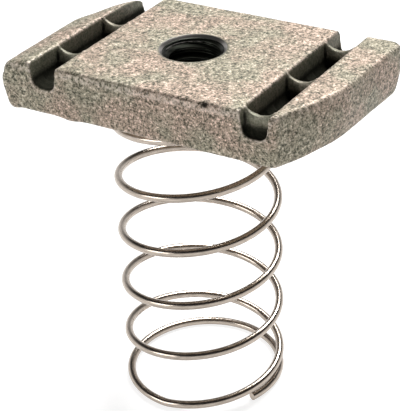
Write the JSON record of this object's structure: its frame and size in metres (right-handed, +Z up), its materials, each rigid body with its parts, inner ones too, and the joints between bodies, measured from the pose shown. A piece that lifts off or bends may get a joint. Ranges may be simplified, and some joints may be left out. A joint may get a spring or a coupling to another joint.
{
  "type": "strut spring nut",
  "caption": "Oblong channel nut with ribbed cross grooves, swept corners and a threaded centre hole, standing on a wire coil spring.",
  "frame": {"origin": "under the middle of the casting, at the plane of the spring's foot", "axes": "+Z up along the threaded hole, the way the screw leaves; +X along the nut's length; +Y across it, along the grooves"},
  "size_m": [0.0354, 0.021, 0.0397],
  "materials": {
    "nut_body": "as-cast, fine sand grain, worn bright on edges",
    "coil_spring": "drawn bright spring wire"
  },
  "bodies": {
    "root": {"nut_body": "nut_body", "coil_spring": "coil_spring"}
  },
  "joints": []
}
